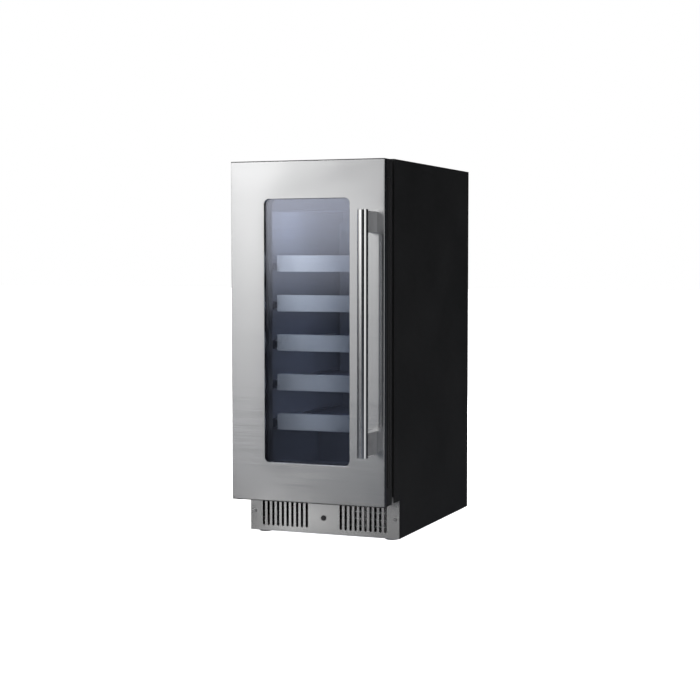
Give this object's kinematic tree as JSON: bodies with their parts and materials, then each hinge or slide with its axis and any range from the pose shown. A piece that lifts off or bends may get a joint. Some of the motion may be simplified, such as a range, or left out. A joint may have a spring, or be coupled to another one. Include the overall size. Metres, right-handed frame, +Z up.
{
  "type": "wine cooler",
  "caption": "Tall, narrow undercounter wine cooler with a framed glass door, a full-height bar handle, pull-out wire racks with metal trims and a vented toe plate.",
  "frame": {"origin": "on the floor under the middle of the whole object's width and depth, handle included", "axes": "+X to the right seen from the front, +Y to the back, +Z up; the door faces -Y"},
  "size_m": [0.375, 0.7, 0.87],
  "materials": {
    "cabinet_black": "satin",
    "galvanised_sheet": "satin",
    "liner_plastic": "satin",
    "foam": "matte",
    "stainless": "satin",
    "zinc_screw": "satin",
    "hinge_steel": "satin",
    "lock_chrome": "polished",
    "compressor_paint": "satin",
    "grommet_rubber": "matte",
    "fin_aluminium": "satin",
    "copper_tube": "satin",
    "fan_plastic": "matte",
    "motor_case": "satin",
    "tray_plastic": "matte",
    "cover_plastic": "matte",
    "light_lens": "satin",
    "control_plastic": "satin",
    "display_window": "gloss",
    "button_plastic": "matte",
    "slide_steel": "satin",
    "trim_metal": "satin",
    "rack_wire": "satin",
    "door_black": "matte",
    "door_glass": "gloss",
    "gasket_rubber": "matte",
    "handle_steel": "polished",
    "bush_nylon": "matte",
    "foot_plastic": "matte"
  },
  "bodies": {
    "cabinet": {"cabinet_wrapper": "cabinet_black", "rear_panel": "galvanised_sheet", "bottom_deck": "galvanised_sheet", "base_pan": "galvanised_sheet", "inner_liner": "liner_plastic", "foam_insulation": "foam", "rear_cover": "galvanised_sheet", "kick_plate": "stainless", "cabinet_screws": "zinc_screw", "upper_hinge_bracket": "hinge_steel", "lower_hinge_bracket": "hinge_steel", "lock_housing": "lock_chrome", "compressor_shell": "compressor_paint", "compressor_grommets": "grommet_rubber", "electrical_box": "cover_plastic", "condenser_coil": "fin_aluminium", "condenser_fan_bracket": "galvanised_sheet", "condenser_fan_motor": "motor_case", "drip_tray": "tray_plastic", "refrigerant_tubes": "copper_tube", "power_inlet": "door_black", "evaporator_plate": "fin_aluminium", "evaporator_cover": "cover_plastic", "evaporator_fan_motor": "motor_case", "light_strip": "light_lens", "control_housing": "control_plastic", "control_display": "display_window", "slide_members": "slide_steel"},
    "door": {"door_skin": "stainless", "door_frame": "door_black", "door_end_caps": "door_black", "outer_glass": "door_glass", "glass_spacer": "fan_plastic", "inner_glass": "door_glass", "door_liner": "door_black", "door_gasket": "gasket_rubber", "handle_bar": "handle_steel", "handle_brackets": "handle_steel", "handle_screws": "zinc_screw", "hinge_bushes": "bush_nylon"},
    "shelf_1": {"shelf_1_trim": "trim_metal", "shelf_1_rack": "rack_wire"},
    "shelf_2": {"shelf_2_trim": "trim_metal", "shelf_2_rack": "rack_wire"},
    "shelf_3": {"shelf_3_trim": "trim_metal", "shelf_3_rack": "rack_wire"},
    "shelf_4": {"shelf_4_trim": "trim_metal", "shelf_4_rack": "rack_wire"},
    "shelf_5": {"shelf_5_trim": "trim_metal", "shelf_5_rack": "rack_wire"},
    "lock": {"lock_core": "lock_chrome"},
    "condenser_fan": {"condenser_fan_blades": "fan_plastic"},
    "evaporator_fan": {"evaporator_fan_blades": "fan_plastic"},
    "foot_front_left_body": {"foot_front_left": "foot_plastic"},
    "foot_front_right_body": {"foot_front_right": "foot_plastic"},
    "foot_rear_left_body": {"foot_rear_left": "foot_plastic"},
    "foot_rear_right_body": {"foot_rear_right": "foot_plastic"},
    "button_power_body": {"button_power": "button_plastic"},
    "button_warmer_body": {"button_warmer": "button_plastic"},
    "button_cooler_body": {"button_cooler": "button_plastic"}
  },
  "joints": [
    {"name": "door_swing", "type": "hinge", "parent": "cabinet", "child": "door", "pos_m": [-0.1755, -0.244, 0.092], "axis": [0, 0, -1], "range_deg": [0, 110]},
    {"name": "shelf_1_slide", "type": "slide", "parent": "cabinet", "child": "shelf_1", "axis": [0, -1, 0], "range_m": [0, 0.055]},
    {"name": "shelf_2_slide", "type": "slide", "parent": "cabinet", "child": "shelf_2", "axis": [0, -1, 0], "range_m": [0, 0.055]},
    {"name": "shelf_3_slide", "type": "slide", "parent": "cabinet", "child": "shelf_3", "axis": [0, -1, 0], "range_m": [0, 0.055]},
    {"name": "shelf_4_slide", "type": "slide", "parent": "cabinet", "child": "shelf_4", "axis": [0, -1, 0], "range_m": [0, 0.055]},
    {"name": "shelf_5_slide", "type": "slide", "parent": "cabinet", "child": "shelf_5", "axis": [0, -1, 0], "range_m": [0, 0.055]},
    {"name": "lock_turn", "type": "hinge", "parent": "cabinet", "child": "lock", "pos_m": [0, -0.1717, 0.043], "axis": [0, -1, 0], "range_deg": [0, 90]},
    {"name": "condenser_fan_spin", "type": "hinge", "parent": "cabinet", "child": "condenser_fan", "pos_m": [0.085, -0.08, 0.055], "axis": [0, 1, 0], "continuous": true},
    {"name": "evaporator_fan_spin", "type": "hinge", "parent": "cabinet", "child": "evaporator_fan", "pos_m": [0, 0.251, 0.65], "axis": [0, 1, 0], "continuous": true},
    {"name": "foot_front_left_screw", "type": "slide", "parent": "cabinet", "child": "foot_front_left_body", "axis": [0, 0, -1], "range_m": [0, 0.02]},
    {"name": "foot_front_right_screw", "type": "slide", "parent": "cabinet", "child": "foot_front_right_body", "axis": [0, 0, -1], "range_m": [0, 0.02]},
    {"name": "foot_rear_left_screw", "type": "slide", "parent": "cabinet", "child": "foot_rear_left_body", "axis": [0, 0, -1], "range_m": [0, 0.02]},
    {"name": "foot_rear_right_screw", "type": "slide", "parent": "cabinet", "child": "foot_rear_right_body", "axis": [0, 0, -1], "range_m": [0, 0.02]},
    {"name": "button_power_press", "type": "slide", "parent": "cabinet", "child": "button_power_body", "axis": [0, 1, 0], "range_m": [0, 0.0015], "stiffness_N_per_m": 600},
    {"name": "button_warmer_press", "type": "slide", "parent": "cabinet", "child": "button_warmer_body", "axis": [0, 1, 0], "range_m": [0, 0.0015], "stiffness_N_per_m": 600},
    {"name": "button_cooler_press", "type": "slide", "parent": "cabinet", "child": "button_cooler_body", "axis": [0, 1, 0], "range_m": [0, 0.0015], "stiffness_N_per_m": 600}
  ]
}
